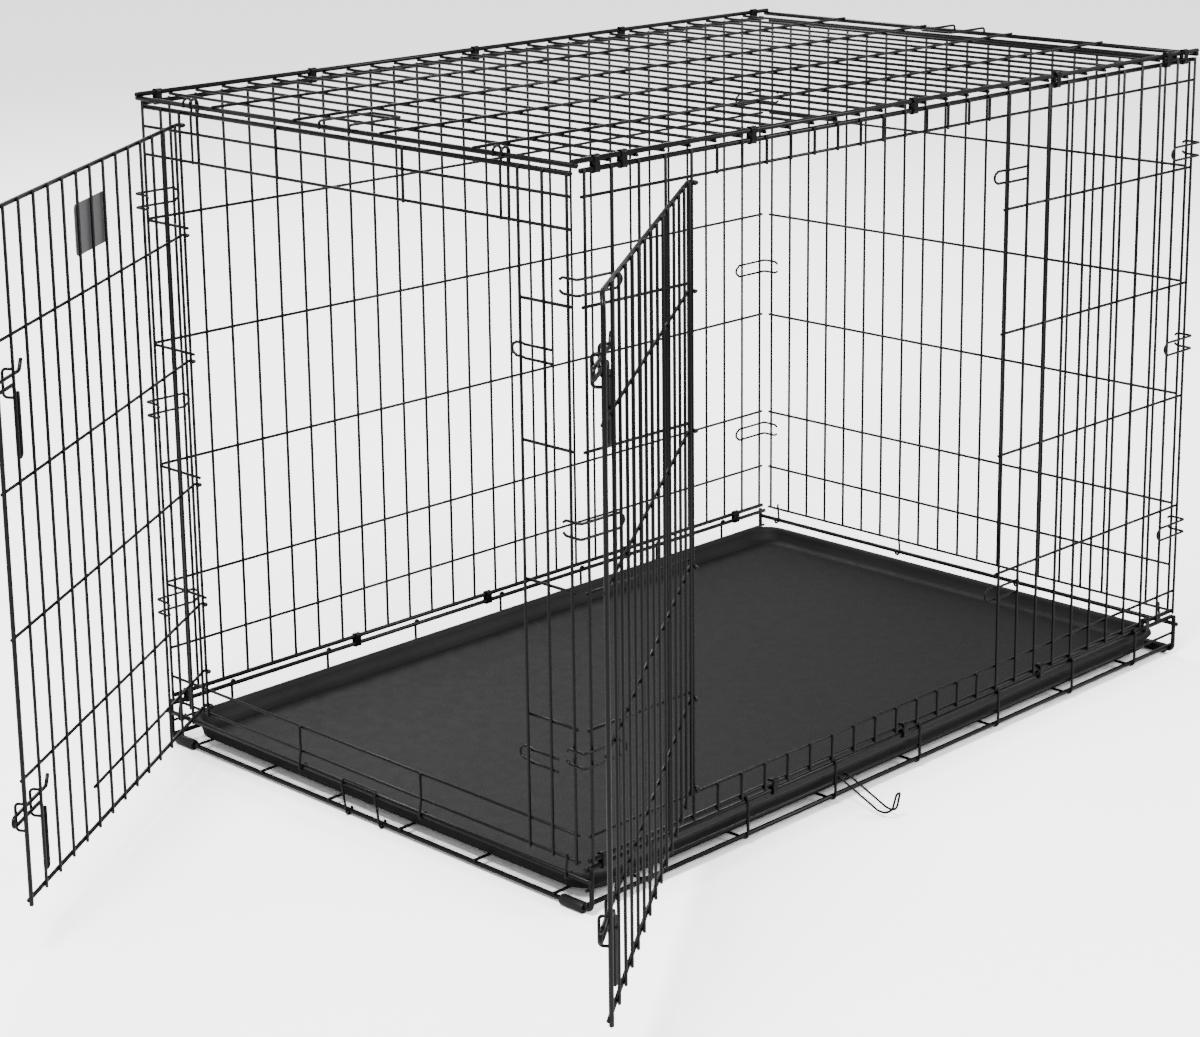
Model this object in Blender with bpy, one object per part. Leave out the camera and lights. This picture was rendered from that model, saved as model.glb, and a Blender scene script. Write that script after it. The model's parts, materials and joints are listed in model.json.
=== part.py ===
"""Wire dog crate with two doors, a loose pan and a fold-down end. Metres, +Z up, doors at -X and -Y."""

import math

import bmesh
import bpy
from mathutils import Matrix, Vector

# overall size, without the doors, which stand open
LENGTH = 1.080
WIDTH = 0.710
HEIGHT = 0.780

# half the corner-to-corner size of each wire's square section
WIRE = 0.0017
ROD = 0.00275
THIN = 0.0015
BITE = 0.0004
GAP = 0.0005

# heights of the lengthwise and crosswise wires, up from the floor
FLOOR_ROD_Z = 0.0062
END_RIM_Z = 0.040
SIDE_RIM_Z = 0.050
SIDE_FOOT_Z = 0.059
SILL_LOW_Z = 0.057
SILL_Z = 0.086
SIDE_TOP_Z = HEIGHT - 0.013
END_TOP_Z = HEIGHT - 0.016
HEADER_Z = HEIGHT - 0.038
HEADER_LOW_Z = HEIGHT - 0.070
TOP_CROSS_Z = HEIGHT - 0.00705
LEVELS = [HEIGHT - 0.146, HEIGHT - 0.291, HEIGHT - 0.436, HEIGHT - 0.580]
LOW_LEVEL = HEIGHT - 0.662
CONNECTOR_Z = (HEIGHT - 0.124, HEIGHT - 0.368, HEIGHT - 0.608)

# where the upright wires stand
SIDE_CELLS = 28
SIDE_END_X = LENGTH / 2 - 0.013
SIDE_PITCH = 2 * SIDE_END_X / SIDE_CELLS
SIDE_PLANE = WIDTH / 2 - 0.003
END_CELLS = 20
END_END_Y = WIDTH / 2 - 0.017
END_PITCH = 2 * END_END_Y / END_CELLS
END_PLANE = LENGTH / 2 - 0.003
END_RIM_X = LENGTH / 2 - 0.0049
END_ROD_X = LENGTH / 2 - 0.010

# doors
SIDE_HINGE, SIDE_LATCH = 4, 18
END_HINGE, END_LATCH = 2, 18
SHORT_WIRES = (7, 13)
RIM_EYES = (0.4, 7, 13, 19.6)
DOOR_CELLS = 14
FIRST_WIRE = 0.012
EDGE_BACK = 0.008
DOOR_N = 0.0009
RAIL_N = DOOR_N + 2 * WIRE - BITE
SIDE_DOOR_Z = (0.092, HEIGHT - 0.044)
END_DOOR_Z = (0.067, HEIGHT - 0.030)
SIDE_DOOR_OPEN = math.radians(145)
END_DOOR_OPEN = math.radians(56)
EYE_RADIUS = 0.0044

# from the middle of the crate's body to the middle of the box round the crate and its open doors
CENTRE_SHIFT = (0.2284, 0.1490, 0.0)

# latches
BOLT = 0.0020
BOLT_N = 0.0081
STAPLE_N = 0.0122
SIDE_LATCH_Z = (0.176, 0.672)
END_LATCH_Z = (0.154, 0.580)

# base
FLOOR_WIRE_Z = FLOOR_ROD_Z + ROD + WIRE - BITE
CROSS_WIRE_Z = FLOOR_WIRE_Z - 2 * WIRE + BITE
FLOOR_WIRE_Y = (-0.300, -0.180, -0.060, 0.060, 0.180, 0.300)
BASE_UPRIGHTS = (2.3, 6.3, 10.2, 14.2, 18.2, 22.2, 25.8)
PAN_Z = (0.0125, 0.034)
PAN_RAIL_Y = WIDTH / 2 - 0.00705
PAN_RAIL_Z = 0.028
FOOT_SPAN = (0.309, 0.342)

TOP_CLIPS = {"front": (0.5, 1.5, 6.5, 13.5, 20.5, 26.5, 27.5), "back": (0.5, 6.5, 13.5, 20.5, 27.5)}
BASE_CLIPS = (0.5, 7.5, 13.5, 20.5, 26.5)


def clear_scene():
    for item in list(bpy.data.objects):
        bpy.data.objects.remove(item, do_unlink=True)


def new_collection(name):
    found = bpy.data.collections.new(name)
    bpy.context.scene.collection.children.link(found)
    return found


def new_material(name, colour, roughness, metallic):
    made = bpy.data.materials.new(name)
    made.use_nodes = True
    shader = made.node_tree.nodes["Principled BSDF"]
    shader.inputs["Base Color"].default_value = (*colour, 1)
    shader.inputs["Roughness"].default_value = roughness
    shader.inputs["Metallic"].default_value = metallic
    return made


def tube(mesh, points, radius, corner):
    """A four-sided wire along points, with one edge of its section facing corner, and mitred bends."""
    points = [Vector(p) for p in points]
    steps = [(b - a).normalized() for a, b in zip(points, points[1:])]
    corner = Vector(corner)
    first = (corner - corner.dot(steps[0]) * steps[0]).normalized()
    second = steps[0].cross(first)
    ring = [points[0] + radius * side for side in (first, second, -first, -second)]
    rings = [ring]
    for i in range(1, len(points)):
        along = steps[i - 1]
        face = along + steps[i] if i < len(steps) else along
        ring = [p + along * ((points[i] - p).dot(face) / along.dot(face)) for p in ring]
        rings.append(ring)
    rings = [[mesh.verts.new(p) for p in ring] for ring in rings]
    for a, b in zip(rings, rings[1:]):
        for i in range(4):
            mesh.faces.new((a[i], a[(i + 1) % 4], b[(i + 1) % 4], b[i]))
    mesh.faces.new(list(reversed(rings[0])))
    mesh.faces.new(rings[-1])


def wires_object(name, wires, collection, origin=(0, 0, 0), frame=None):
    """One object from (points, radius, corner) wires. frame turns them from a panel's own axes into the crate's."""
    mesh = bmesh.new()
    for points, radius, corner in wires:
        tube(mesh, points, radius, corner)
    if frame:
        bmesh.ops.transform(mesh, matrix=frame, verts=mesh.verts)
    bmesh.ops.translate(mesh, vec=-Vector(origin), verts=mesh.verts)
    return finish_object(name, mesh, collection, origin)


def finish_object(name, mesh, collection, origin=(0, 0, 0)):
    bmesh.ops.recalc_face_normals(mesh, faces=mesh.faces)
    data = bpy.data.meshes.new(name)
    mesh.to_mesh(data)
    mesh.free()
    made = bpy.data.objects.new(name, data)
    made.location = origin
    collection.objects.link(made)
    return made


def welded(name, layers, material, origin=(0, 0, 0), frame=None):
    """One node from layers of wires: the wires within a layer stay apart, and the layers are joined to each other."""
    made = wires_object(name, layers[0], crate, origin, frame)
    made.data.materials.append(material)
    for i, wires in enumerate(layers[1:]):
        cutter = wires_object(f"{name}_layer_{i}", wires, cutters, origin, frame)
        cutter.data.materials.append(material)
        cutter.hide_render = True
        cutter.display_type = "WIRE"
        join = made.modifiers.new(f"weld_{i}", "BOOLEAN")
        join.operation = "UNION"
        join.solver = "EXACT"
        join.object = cutter
    return made


def panel_frame(origin, along, outward):
    """A panel's own axes: x runs along it, y points out of the crate and z is up."""
    along, outward = Vector(along), Vector(outward)
    turn = Matrix((along, outward, Vector((0, 0, 1)))).transposed().to_4x4()
    return Matrix.Translation(origin) @ turn


def upright(x, low, high, radius=WIRE, n=0.0):
    return ([(x, n, low), (x, n, high)], radius, (0, 1, 0))


def rail(z, start, end, radius=WIRE):
    """A level wire on the inner face of a panel's uprights."""
    n = -(WIRE + radius - BITE)
    return ([(start, n, z), (end, n, z)], radius, (0, 1, 0))


def keeper(jamb, z):
    """The loop a door closes against, reaching into the doorway behind the door's free edge."""
    path = [(jamb + 0.041, -0.0029), (jamb + 0.003, -0.0029), (jamb - 0.003, -0.0056), (jamb - 0.018, -0.0056)]
    points = [(x, n, z + 0.007) for x, n in path] + [(x, n, z - 0.007) for x, n in reversed(path)]
    return (points, THIN, (0, 0, 1))


def side_x(index):
    return -SIDE_END_X + index * SIDE_PITCH


def end_y(index):
    """Place of an end upright; index 0 is at the back."""
    return END_END_Y - index * END_PITCH


def connectors(outward):
    """The long loops on a side panel that wrap round its two ends."""
    made = []
    y = outward * (SIDE_PLANE + WIRE + THIN - BITE)
    tip = outward * (END_END_Y - 0.008)
    for end in (-1, 1):
        face = end * (END_PLANE + WIRE + THIN + GAP)
        back = end * (LENGTH / 2 - 0.060)
        for z in CONNECTOR_Z:
            ring = [(face, tip), (face, y), (back, y)]
            points = [(px, py, z + 0.008) for px, py in ring]
            points += [(px, py, z - 0.008) for px, py in reversed(ring)]
            made.append((points, THIN, (0, 0, 1)))
    return made


def build_side(name, outward, has_door):
    low, high = SIDE_FOOT_Z - 0.003, SIDE_TOP_Z + 0.003
    reach = SIDE_END_X + 0.0025
    uprights, rails, extras = [], [], []
    for i in range(SIDE_CELLS + 1):
        x = side_x(i)
        if has_door and SIDE_HINGE < i < SIDE_LATCH:
            uprights.append(upright(x, low, SILL_Z + 0.002))
            uprights.append(upright(x, HEADER_Z - 0.002, high))
        else:
            uprights.append(upright(x, low, high))
    rails.append(rail(SIDE_TOP_Z, -reach, reach, ROD))
    rails.append(rail(SIDE_FOOT_Z, -reach, reach, ROD))
    if has_door:
        rails.append(rail(HEADER_Z, -reach, reach))
        rails.append(rail(SILL_Z, -reach, reach))
        for z in LEVELS:
            rails.append(rail(z, -reach, side_x(SIDE_HINGE) + 0.003))
            rails.append(rail(z, side_x(SIDE_LATCH) - 0.003, reach))
        extras = [keeper(side_x(SIDE_LATCH), z) for z in SIDE_LATCH_Z]
    else:
        rails += [rail(z, -reach, reach) for z in LEVELS + [LOW_LEVEL]]
    frame = Matrix.Translation((0, outward * SIDE_PLANE, 0)) @ Matrix.Diagonal((1, outward, 1, 1))
    unframe = frame.inverted()
    hooks = []
    for points, radius, corner in connectors(outward):
        hooks.append(([unframe @ Vector(p) for p in points], radius, corner))
    return welded(name, [uprights, rails, extras + hooks], wire_black, frame=frame)


def rim_eye(x, axis_n, axis_z, top):
    """An upright that ends in a hook round the rod its panel stands on."""
    centre = 0.0049
    hook = []
    for degrees in (30, -30, -90, -150, 150):
        angle = math.radians(degrees)
        hook.append((x, axis_n + centre * math.cos(angle), axis_z + centre * math.sin(angle)))
    return ([(x, 0, top), (x, 0, axis_z + 0.0105)] + hook, THIN, (1, 0, 0))


def end_frame(end):
    return Matrix.Translation((end * END_PLANE, 0, 0)) @ Matrix(
        ((0, end, 0, 0), (-1, 0, 0, 0), (0, 0, 1, 0), (0, 0, 0, 1))
    )


def build_end(name, end, has_door):
    """An end panel. Its own x runs from back to front, so index 0 is at the back."""
    low, high = SILL_LOW_Z - 0.0025, END_TOP_Z + 0.003
    reach = END_END_Y + 0.0025
    uprights, rails, extras, eyes = [], [], [], []
    for i in range(END_CELLS + 1):
        x = -end_y(i)
        if not has_door:
            if i in SHORT_WIRES:
                uprights.append(upright(x, SILL_LOW_Z + 0.006, high))
            else:
                uprights.append(upright(x, low, high))
        elif i <= END_HINGE or i >= END_LATCH:
            uprights.append(upright(x, low, high))
        elif i in SHORT_WIRES:
            uprights.append(upright(x, HEADER_LOW_Z - 0.002, high))
    for i in RIM_EYES:
        top = SILL_Z + 0.002 if has_door and i in SHORT_WIRES else SILL_LOW_Z + 0.003
        eyes.append(rim_eye(-end_y(i), END_RIM_X - END_PLANE, END_RIM_Z, top))
    rails.append(rail(END_TOP_Z, -reach, reach, ROD))
    rails.append(rail(SILL_LOW_Z, -reach, reach))
    if has_door:
        for z in (HEADER_Z, HEADER_LOW_Z, SILL_Z):
            rails.append(rail(z, -reach, reach))
        for z in LEVELS:
            rails.append(rail(z, -reach, -end_y(END_HINGE) + 0.003))
            rails.append(rail(z, -end_y(END_LATCH) - 0.003, reach))
        extras = [keeper(-end_y(END_LATCH), z) for z in END_LATCH_Z]
        for x in (-end_y(2.4), -end_y(2.75), -end_y(17.1), -end_y(17.45)):
            extras.append(top_hook(x))
    else:
        rails += [rail(z, -reach, reach) for z in LEVELS + [LOW_LEVEL]]
    layers = [uprights + eyes, rails]
    if extras:
        layers.append(extras)
    axis = (end * END_RIM_X, 0, END_RIM_Z)
    return welded(name, layers, wire_black, axis, end_frame(end))


def top_hook(x):
    """A prong up the inside of the headers and out over the end rod of the top panel."""
    path = [(-0.0058, HEADER_LOW_Z - 0.003), (-0.0058, END_TOP_Z - 0.004), (-0.0074, HEIGHT - 0.012)]
    path += [(-0.0074, HEIGHT - 0.003), (-0.0020, HEIGHT + 0.0013), (0.0034, HEIGHT - 0.003), (0.0034, HEIGHT - 0.008)]
    return ([(x, n, z) for n, z in path], THIN, (1, 0, 0))


def door_rail(z, end, radius=WIRE):
    """A level wire of a door, ending in an eye round the jamb wire, which is the door's own axis."""
    n = RAIL_N + radius - WIRE
    reach = EYE_RADIUS + radius - WIRE
    points = [(end, n, z), (0.0065, n, z)]
    for degrees in (60, 120, 180, -120, -60, -25):
        angle = math.radians(degrees)
        points.append((reach * math.cos(angle), reach * math.sin(angle), z))
    return (points, radius, (0, 0, 1))


def staple(x, z, n):
    """The guide a bolt slides in: a bridge welded to one upright of the door."""
    path = [(n + 0.0006, -0.014), (STAPLE_N, -0.014), (STAPLE_N, 0.014), (n + 0.0006, 0.014)]
    return ([(x, pn, z + pz) for pn, pz in path], THIN, (1, 0, 0))


def bolt_path(edge, z):
    """A latch bolt: a nose loop past the door's edge, a hooked tail and a long hanging handle, bent from one wire."""
    path = [(-0.072, 0.012), (-0.067, 0.005), (0.012, 0.005), (0.017, 0.002), (0.017, -0.002), (0.012, -0.005)]
    path += [(-0.050, -0.005), (-0.054, -0.009), (-0.054, -0.074), (-0.056, -0.078)]
    path += [(-0.060, -0.078), (-0.062, -0.074), (-0.062, -0.014)]
    return ([(edge + x, BOLT_N, z + pz) for x, pz in path], BOLT, (0, 1, 0))


def swing(item, angle):
    """Turns a closed door's piece, and the layers welded to it, about the upright line through its own origin."""
    item.rotation_euler.z = angle
    for join in item.modifiers:
        join.object.rotation_euler.z = angle


def build_door(name, frame, axis, opened, width, span, levels, low_rail, latch_levels):
    """A door, modelled shut in its doorway and then swung open, with its two bolts."""
    low, high = span
    edge = width - EDGE_BACK
    pitch = (edge - FIRST_WIRE) / DOOR_CELLS
    places = [FIRST_WIRE + i * pitch for i in range(DOOR_CELLS)]
    uprights = [upright(x, low - 0.003, high + 0.003, WIRE, DOOR_N) for x in places]
    edge_n = DOOR_N + 0.0011
    uprights.append(upright(edge, low - 0.006, high + 0.003, ROD, edge_n))
    rails = [door_rail(high, edge + 0.002, 0.0022), door_rail(low, edge + 0.002, 0.0022)]
    rails += [door_rail(z, edge + 0.002) for z in levels]
    if low_rail:
        rails.append(door_rail(low_rail, places[9] + 0.003))
    guides = []
    for z in latch_levels:
        guides.append(staple(edge, z, edge_n))
        guides.append(staple(places[-1], z, DOOR_N))
    swing(welded(name, [uprights, rails, guides], wire_black, axis, frame), opened)
    for label, z in zip(("lower", "upper"), latch_levels):
        swing(welded(f"{name}_bolt_{label}", [[bolt_path(edge, z)]], wire_black, axis, frame), opened)


def build_doors():
    levels = [z - 0.008 for z in LEVELS]
    axis = Vector((side_x(SIDE_HINGE), -SIDE_PLANE, 0))
    frame = panel_frame(axis, (1, 0, 0), (0, -1, 0))
    width = (SIDE_LATCH - SIDE_HINGE) * SIDE_PITCH
    build_door("side_door", frame, axis, -SIDE_DOOR_OPEN, width, SIDE_DOOR_Z, levels, None, SIDE_LATCH_Z)
    axis = Vector((-END_PLANE, end_y(END_HINGE), 0))
    frame = panel_frame(axis, (0, -1, 0), (-1, 0, 0))
    width = (END_LATCH - END_HINGE) * END_PITCH
    build_door("end_door", frame, axis, -END_DOOR_OPEN, width, END_DOOR_Z, levels, LOW_LEVEL - 0.008, END_LATCH_Z)
    low = (width / 2 - 0.042, DOOR_N + WIRE + 0.0004, HEIGHT - 0.115)
    high = (width / 2 + 0.042, RAIL_N + 0.0006, HEIGHT - 0.062)
    plate = block(low, high)
    bmesh.ops.transform(plate, matrix=Matrix.Translation(-axis) @ frame, verts=plate.verts)
    made = finish_object("name_plate", plate, crate, axis)
    made.data.materials.append(plate_grey)
    swing(made, -END_DOOR_OPEN)


def block(low, high):
    mesh = bmesh.new()
    bmesh.ops.create_cube(mesh, size=1)
    low, high = Vector(low), Vector(high)
    for v in mesh.verts:
        v.co = Vector((low[i] + (high[i] - low[i]) * (v.co[i] + 0.5) for i in range(3)))
    return mesh


def build_top():
    """The top panel: crosswise wires under lengthwise ones."""
    half = WIDTH / 2 - 0.00705
    across, lengthwise = [], []
    ends = [-(LENGTH / 2 - 0.005), LENGTH / 2 - 0.005]
    for x in ends:
        across.append(([(x, -half - 0.003, TOP_CROSS_Z), (x, half + 0.003, TOP_CROSS_Z)], ROD, (0, 0, 1)))
    for i in range(1, SIDE_CELLS):
        x = side_x(i)
        across.append(([(x, -half - 0.003, TOP_CROSS_Z), (x, half + 0.003, TOP_CROSS_Z)], WIRE, (0, 0, 1)))
    reach = LENGTH / 2 - 0.0015
    rod_z = TOP_CROSS_Z + WIRE + ROD - BITE
    wire_z = TOP_CROSS_Z + 2 * WIRE - BITE
    for y in (-half, half):
        lengthwise.append(([(-reach, y, rod_z), (reach, y, rod_z)], ROD, (0, 0, 1)))
    for i in range(1, 5):
        y = -half + i * 2 * half / 5
        lengthwise.append(([(-reach, y, wire_z), (reach, y, wire_z)], WIRE, (0, 0, 1)))
    welded("top_panel", [across, lengthwise], wire_black)


def build_base():
    """The base: floor wires, cross wires that turn up at the long sides, and the raised rim."""
    across, lengthwise = [], []
    for x in (-END_ROD_X, END_ROD_X):
        y = WIDTH / 2 - 0.003
        path = [(x, -y, SIDE_RIM_Z + 0.003), (x, -y, FLOOR_ROD_Z), (x, y, FLOOR_ROD_Z), (x, y, SIDE_RIM_Z + 0.003)]
        across.append((path, ROD, (1, 0, 0)))
    for i in BASE_UPRIGHTS:
        x = side_x(i)
        y = WIDTH / 2 - 0.00405
        path = [(x, -y, SIDE_RIM_Z + 0.003), (x, -y, CROSS_WIRE_Z), (x, y, CROSS_WIRE_Z), (x, y, SIDE_RIM_Z + 0.003)]
        across.append((path, WIRE, (1, 0, 0)))
    reach = LENGTH / 2 - 0.006
    for y in FLOOR_WIRE_Y:
        lengthwise.append(([(-reach, y, FLOOR_WIRE_Z), (reach, y, FLOOR_WIRE_Z)], WIRE, (0, 0, 1)))
    for side in (-1, 1):
        y = side * (WIDTH / 2 - 0.0081)
        for z in (SIDE_RIM_Z, FLOOR_ROD_Z + 2 * ROD - BITE):
            lengthwise.append(([(-reach, y, z), (reach, y, z)], ROD, (0, 1, 0)))
        y = side * PAN_RAIL_Y
        lengthwise.append(([(-reach, y, PAN_RAIL_Z), (reach, y, PAN_RAIL_Z)], WIRE, (0, 1, 0)))
        x = side * END_RIM_X
        y = WIDTH / 2
        lengthwise.append(([(x, -y, END_RIM_Z), (x, y, END_RIM_Z)], ROD, (1, 0, 0)))
    welded("base", [across, lengthwise], wire_black)


def clip_ring(name, x, y_span, z_span):
    """A flat band round two rods that lie one above the other."""
    mesh = bmesh.new()
    half, thick = 0.004, 0.0012
    loops = []
    for px in (x - half, x + half):
        for grow in (0.0, thick):
            (y0, y1), (z0, z1) = y_span, z_span
            ring = [(y0 - grow, z0 - grow), (y1 + grow, z0 - grow), (y1 + grow, z1 + grow), (y0 - grow, z1 + grow)]
            loops.append([mesh.verts.new((px, y, z)) for y, z in ring])
    near_in, near_out, far_in, far_out = loops
    for a, b in ((near_in, near_out), (near_out, far_out), (far_out, far_in), (far_in, near_in)):
        for i in range(4):
            mesh.faces.new((a[i], a[(i + 1) % 4], b[(i + 1) % 4], b[i]))
    made = finish_object(name, mesh, crate)
    made.data.materials.append(clip_steel)


def build_clips():
    outer, top_inner, base_inner = WIDTH / 2 - 0.0039, WIDTH / 2 - 0.0102, WIDTH / 2 - 0.01125
    for side, label in ((-1, "front"), (1, "back")):
        for number, i in enumerate(TOP_CLIPS[label]):
            span = sorted((side * outer, side * top_inner))
            clip_ring(f"top_clip_{label}_{number + 1}", side_x(i), span, (SIDE_TOP_Z - 0.00315, HEIGHT + 0.00015))
        for number, i in enumerate(BASE_CLIPS):
            span = sorted((side * outer, side * base_inner))
            levels = (SIDE_RIM_Z - 0.00315, SIDE_FOOT_Z + 0.00315)
            clip_ring(f"base_clip_{label}_{number + 1}", side_x(i), span, levels)


def build_feet():
    """A plastic sleeve on each end of both end floor rods. Its flat underside is what the crate stands on."""
    for end, end_label in ((-1, "door_end"), (1, "plain_end")):
        for side, label in ((-1, "front"), (1, "back")):
            mesh = bmesh.new()
            rings = []
            for y in FOOT_SPAN:
                for apothem in (0.0032, FLOOR_ROD_Z):
                    ring = []
                    for k in range(8):
                        angle = math.radians(22.5 + 45 * k)
                        size = apothem / math.cos(math.radians(22.5))
                        x = end * END_ROD_X + size * math.cos(angle)
                        ring.append((x, side * y, FLOOR_ROD_Z + size * math.sin(angle)))
                    rings.append([mesh.verts.new(p) for p in ring])
            for a, b in ((0, 1), (1, 3), (3, 2), (2, 0)):
                for k in range(8):
                    mesh.faces.new((rings[a][k], rings[a][(k + 1) % 8], rings[b][(k + 1) % 8], rings[b][k]))
            made = finish_object(f"foot_{end_label}_{label}", mesh, crate)
            made.data.materials.append(foot_black)


def build_pan():
    """The slide-out pan: a shallow tray with a sloped wall and a rolled rim."""
    low, high = PAN_Z
    half_x, half_y = LENGTH / 2 - 0.016, WIDTH / 2 - 0.0145
    rings = [
        (0.012, low),
        (0.004, high - 0.004),
        (0.0, high - 0.004),
        (0.0, high),
        (0.006, high),
        (0.014, low + 0.0025),
    ]
    mesh = bmesh.new()
    loops = []
    for inset, z in rings:
        x, y = half_x - inset, half_y - inset
        loops.append([mesh.verts.new(p) for p in ((-x, -y, z), (x, -y, z), (x, y, z), (-x, y, z))])
    for a, b in zip(loops, loops[1:]):
        for i in range(4):
            mesh.faces.new((a[i], a[(i + 1) % 4], b[(i + 1) % 4], b[i]))
    mesh.faces.new(loops[0])
    mesh.faces.new(loops[-1])
    made = finish_object("pan", mesh, crate)
    made.data.materials.append(pan_plastic)


def build_pan_stop():
    """A wire U hooked round the door end's floor rod, with its bar leaning over the end rim."""
    centre = 0.0047
    radius = 0.0012
    axis = (-END_ROD_X, 0, FLOOR_ROD_Z)
    hook = []
    for degrees in (45, 0, -45, -90, -135):
        angle = math.radians(degrees)
        hook.append((-END_ROD_X + centre * math.cos(angle), FLOOR_ROD_Z + centre * math.sin(angle)))
    hook.append((-END_ROD_X - centre - 0.0004, FLOOR_ROD_Z))
    hook.append((-LENGTH / 2 + 0.0003, END_RIM_Z + 0.0005))
    hook.append((-END_RIM_X - 0.0014, END_RIM_Z + ROD + radius + 0.0009))
    low_y, high_y = -0.028, 0.028
    points = [(x, low_y, z) for x, z in hook] + [(x, high_y, z) for x, z in reversed(hook)]
    welded("pan_stop", [[(points, radius, (0, 1, 0))]], wire_black, axis)


def build_fold_hook():
    """A bent wire hook that hangs from the front pan rail and holds the crate shut when it is folded."""
    x = side_x(BASE_UPRIGHTS[2]) + 0.016
    axis = Vector((x, -PAN_RAIL_Y, PAN_RAIL_Z))
    shape = []
    for degrees in (225, 180, 135, 90, 45):
        angle = math.radians(degrees)
        shape.append((0.007, 0.0037 * math.cos(angle), 0.0037 * math.sin(angle)))
    shape += [(0.007, 0.058, -0.0212), (0.005, 0.070, -0.0212), (0.003, 0.078, -0.010), (0.003, 0.079, 0.004)]
    points = [(-dx, -out, z) for dx, out, z in shape] + [(dx, -out, z) for dx, out, z in reversed(shape)]
    welded("fold_hook", [[([axis + Vector(p) for p in points], 0.0012, (1, 0, 0))]], wire_black, axis)


def centre_on_footprint():
    """Moves everything so that the origin is under the middle of the box that holds the crate with its doors open."""
    for item in list(crate.objects) + list(cutters.objects):
        item.location = item.location + Vector(CENTRE_SHIFT)


def build_top_grips():
    """A bent wire clip at the middle of each end of the top panel, over its end rod and first cross wire."""
    for end, label in ((-1, "door_end"), (1, "plain_end")):
        z = HEIGHT - 0.0043 + ROD + THIN
        outer, inner = end * (LENGTH / 2 + 0.0004), end * (LENGTH / 2 - 0.072)
        path = [(outer, -0.024, z - 0.009), (outer, -0.024, z), (inner, -0.024, z)]
        path += [(inner, 0.024, z), (outer, 0.024, z), (outer, 0.024, z - 0.009)]
        welded(f"top_grip_{label}", [[(path, THIN, (0, 1, 0))]], wire_black)


clear_scene()
crate = new_collection("wire_dog_crate")
cutters = new_collection("cutters")
wire_black = new_material("wire_black", (0.012, 0.012, 0.013), 0.32, 0.2)
clip_steel = new_material("clip_black", (0.02, 0.02, 0.021), 0.3, 0.4)
foot_black = new_material("foot_black", (0.015, 0.015, 0.015), 0.55, 0.0)
pan_plastic = new_material("pan_plastic", (0.028, 0.03, 0.032), 0.6, 0.0)
plate_grey = new_material("plate_grey", (0.25, 0.25, 0.26), 0.4, 0.3)

build_base()
build_side("side_front", -1, True)
build_side("side_back", 1, False)
build_end("front_end", -1, True)
build_end("rear_end", 1, False)
build_top()
build_doors()
build_clips()
build_feet()
build_pan()
build_pan_stop()
build_fold_hook()
build_top_grips()
centre_on_footprint()
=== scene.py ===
"""The looks of the wire dog crate: round welded wire, hooked ends, clips, feet and a moulded pan."""

import json
import math

import bpy
from mathutils import Matrix, Vector

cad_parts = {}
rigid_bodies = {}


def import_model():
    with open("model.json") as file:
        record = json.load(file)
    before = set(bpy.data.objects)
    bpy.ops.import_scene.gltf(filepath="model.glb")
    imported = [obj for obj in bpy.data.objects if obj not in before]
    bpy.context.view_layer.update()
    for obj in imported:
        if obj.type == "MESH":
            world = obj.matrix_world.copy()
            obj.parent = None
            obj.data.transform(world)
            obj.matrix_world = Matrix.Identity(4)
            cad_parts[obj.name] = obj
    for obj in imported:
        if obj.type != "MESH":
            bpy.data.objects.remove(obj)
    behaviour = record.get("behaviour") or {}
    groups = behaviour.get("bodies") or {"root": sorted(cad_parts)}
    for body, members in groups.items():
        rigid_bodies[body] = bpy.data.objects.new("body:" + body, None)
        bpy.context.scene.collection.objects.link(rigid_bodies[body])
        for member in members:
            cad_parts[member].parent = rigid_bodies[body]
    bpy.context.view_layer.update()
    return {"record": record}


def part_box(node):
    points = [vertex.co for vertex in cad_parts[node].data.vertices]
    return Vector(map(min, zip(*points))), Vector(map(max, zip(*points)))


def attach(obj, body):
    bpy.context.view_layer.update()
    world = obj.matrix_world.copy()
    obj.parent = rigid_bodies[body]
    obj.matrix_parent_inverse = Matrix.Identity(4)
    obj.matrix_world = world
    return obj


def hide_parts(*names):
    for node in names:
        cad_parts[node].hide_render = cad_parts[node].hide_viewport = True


# The crate's driving dimensions in metres, after the CAD's. The doors' eyes are 0.2 mm tighter here.
# SIDES and BEND_STEPS set how smooth a wire is.
LENGTH = 1.080
WIDTH = 0.710
HEIGHT = 0.780
WIRE = 0.0017
ROD = 0.00275
THIN = 0.0015
BOLT = 0.0020
BITE = 0.0004
SIDES = 10
BEND_STEPS = 5

FLOOR_ROD_Z = 0.0062
END_RIM_Z = 0.040
SIDE_RIM_Z = 0.050
SIDE_FOOT_Z = 0.059
SILL_LOW_Z = 0.057
SILL_Z = 0.086
SIDE_TOP_Z = HEIGHT - 0.013
END_TOP_Z = HEIGHT - 0.016
HEADER_Z = HEIGHT - 0.038
HEADER_LOW_Z = HEIGHT - 0.070
TOP_CROSS_Z = HEIGHT - 0.00705
LEVELS = [HEIGHT - 0.146, HEIGHT - 0.291, HEIGHT - 0.436, HEIGHT - 0.580]
LOW_LEVEL = HEIGHT - 0.662
CONNECTOR_Z = (HEIGHT - 0.124, HEIGHT - 0.368, HEIGHT - 0.608)

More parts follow.
